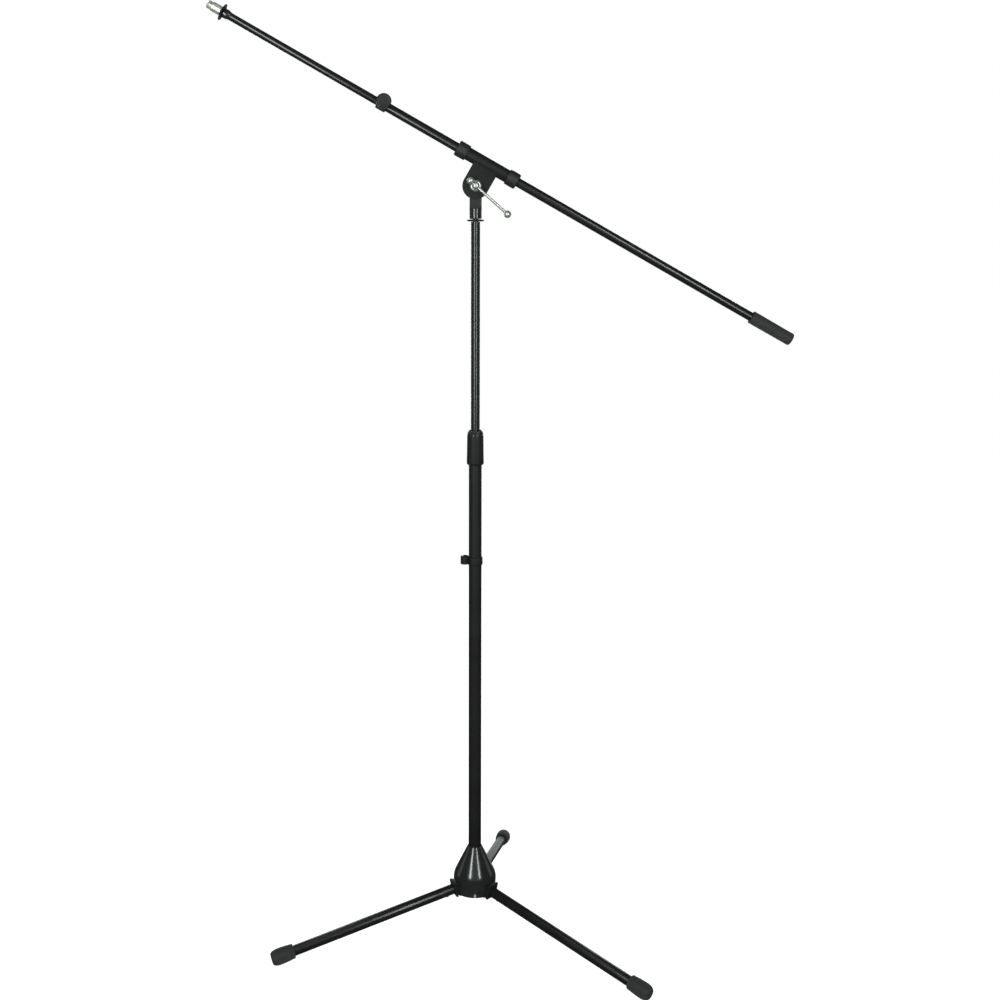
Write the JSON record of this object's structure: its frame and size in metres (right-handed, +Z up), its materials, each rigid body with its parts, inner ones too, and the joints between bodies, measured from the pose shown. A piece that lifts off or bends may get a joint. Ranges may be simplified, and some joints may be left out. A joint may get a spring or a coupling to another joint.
{
  "type": "boom microphone stand",
  "caption": "Tripod microphone stand with folding legs, a telescopic column with a twist clutch, and a tilting telescopic boom in a screw clamp.",
  "frame": {"origin": "middle of the stand's box on the floor; the column's axis stands at x -0.0486, y -0.0620", "axes": "+Z up along the column; the boom lies over X with its microphone end towards -X and up; the clamp screw and its tommy bar face -Y"},
  "size_m": [1.0174, 0.6256, 1.6655],
  "materials": {
    "black_paint": "satin black powder coat",
    "black_plastic": "moulded black, fine grain",
    "black_rubber": "matt black",
    "chrome_plate": "bright plate",
    "nickel_plate": "satin nickel plate",
    "plain_steel": "plain",
    "nylon": "natural"
  },
  "bodies": {
    "base": {"hub_casting": "black_paint", "column_plug": "plain_steel", "column_washer": "plain_steel", "column_bolt": "plain_steel", "hub_set_screw": "nickel_plate", "leg_pin_rear": "plain_steel", "leg_pin_left": "plain_steel", "leg_pin_right": "plain_steel", "lower_tube": "black_paint", "clutch_socket": "plain_steel", "clutch_collet": "nylon"},
    "leg_rear": {"leg_knuckle_rear": "black_plastic", "leg_tube_rear": "black_paint", "leg_rivet_rear": "plain_steel", "leg_foot_rear": "black_rubber"},
    "leg_left": {"leg_knuckle_left": "black_plastic", "leg_tube_left": "black_paint", "leg_rivet_left": "plain_steel", "leg_foot_left": "black_rubber"},
    "leg_right": {"leg_knuckle_right": "black_plastic", "leg_tube_right": "black_paint", "leg_rivet_right": "plain_steel", "leg_foot_right": "black_rubber"},
    "clutch": {"clutch_grip": "black_plastic"},
    "clip": {"cable_clip": "black_plastic"},
    "mast_slider": {"mast_bush": "nylon"},
    "mast": {"upper_tube": "black_paint", "mast_end_plug": "black_plastic", "mast_stud": "plain_steel", "swivel_head": "black_paint"},
    "swivel_lock": {"swivel_lock_disc": "black_paint"},
    "clamp": {"clamp_strap": "black_paint", "friction_disc_front": "nylon", "friction_disc_rear": "nylon", "clamp_nut": "plain_steel"},
    "screw": {"clamp_screw": "chrome_plate"},
    "bar": {"tommy_bar": "chrome_plate", "tommy_ball_upper": "chrome_plate", "tommy_ball_lower": "chrome_plate"},
    "bushes": {"boom_bush_front": "black_plastic", "boom_bush_rear": "black_plastic"},
    "boom_outer": {"boom_outer_tube": "black_paint", "boom_collar": "black_plastic", "rear_grip": "black_rubber"},
    "pad": {"pressure_pad": "nylon"},
    "knob": {"boom_knob": "black_plastic", "knob_screw": "plain_steel"},
    "inner_slider": {"inner_bush": "nylon"},
    "boom_inner": {"boom_inner_tube": "black_paint", "inner_end_plug": "black_plastic", "tip_ferrule": "black_paint", "tip_stud": "plain_steel", "thread_adapter": "nickel_plate"},
    "tip_lock": {"tip_lock_disc": "black_paint"}
  },
  "joints": [
    {"name": "leg_fold_rear", "type": "hinge", "parent": "base", "child": "leg_rear", "pos_m": [-0.04338, -0.03248, 0.07911], "axis": [-0.9848, 0.1736, 0], "range_deg": [0, 77.8]},
    {"name": "leg_fold_left", "type": "hinge", "parent": "base", "child": "leg_left", "pos_m": [-0.07678, -0.07229, 0.07911], "axis": [0.342, -0.9397, 0], "range_deg": [0, 77.8]},
    {"name": "leg_fold_right", "type": "hinge", "parent": "base", "child": "leg_right", "pos_m": [-0.0256, -0.08131, 0.07911], "axis": [0.6428, 0.766, 0], "range_deg": [0, 77.8]},
    {"name": "mast_height", "type": "slide", "parent": "base", "child": "mast_slider", "axis": [0, 0, 1], "range_m": [-0.355, 0.25]},
    {"name": "mast_turn", "type": "hinge", "parent": "mast_slider", "child": "mast", "pos_m": [-0.04859, -0.06203, 0.6], "axis": [0, 0, 1], "continuous": true},
    {"name": "clutch_twist", "type": "hinge", "parent": "base", "child": "clutch", "pos_m": [-0.04859, -0.06203, 0.895], "axis": [0, 0, 1], "range_deg": [0, 90]},
    {"name": "clip_slide", "type": "slide", "parent": "base", "child": "clip", "axis": [0, 0, 1], "range_m": [-0.5, 0.16]},
    {"name": "swivel_lock_spin", "type": "hinge", "parent": "mast", "child": "swivel_lock", "pos_m": [-0.04859, -0.06203, 1.2925], "axis": [0, 0, 1], "continuous": true},
    {"name": "boom_tilt", "type": "hinge", "parent": "mast", "child": "clamp", "pos_m": [-0.04859, -0.06203, 1.3518], "axis": [0, 1, 0], "range_deg": [-75, 60.3]},
    {"name": "clamp_screw_turn", "type": "hinge", "parent": "clamp", "child": "screw", "pos_m": [-0.04859, -0.06203, 1.3518], "axis": [0, -1, 0], "continuous": true},
    {"name": "tommy_bar_slide", "type": "slide", "parent": "screw", "child": "bar", "axis": [0.7455, 0, -0.6665], "range_m": [-0.061, 0]},
    {"name": "boom_roll", "type": "hinge", "parent": "clamp", "child": "bushes", "pos_m": [-0.02816, -0.06203, 1.38764], "axis": [0.8688, 0, -0.4952], "continuous": true},
    {"name": "boom_slide", "type": "slide", "parent": "bushes", "child": "boom_outer", "axis": [0.8688, 0, -0.4952], "range_m": [-0.465, 0.108]},
    {"name": "pad_travel", "type": "slide", "parent": "boom_outer", "child": "pad", "axis": [0.108, -0.9759, 0.1895], "range_m": [0, 0.001]},
    {"name": "knob_turn", "type": "hinge", "parent": "pad", "child": "knob", "pos_m": [-0.20791, -0.06203, 1.49009], "axis": [0.108, -0.9759, 0.1895], "range_deg": [0, 360]},
    {"name": "boom_telescope", "type": "slide", "parent": "boom_outer", "child": "inner_slider", "axis": [0.8688, 0, -0.4952], "range_m": [-0.075, 0.286]},
    {"name": "inner_turn", "type": "hinge", "parent": "inner_slider", "child": "boom_inner", "pos_m": [-0.02816, -0.06203, 1.38764], "axis": [0.8688, 0, -0.4952], "continuous": true},
    {"name": "tip_lock_spin", "type": "hinge", "parent": "boom_inner", "child": "tip_lock", "pos_m": [-0.48081, -0.06203, 1.64561], "axis": [0.8688, 0, -0.4952], "continuous": true}
  ],
  "couplings": [
    {"joint": "pad_travel", "follows": "knob_turn", "m_per_rad": 0.00015915}
  ]
}
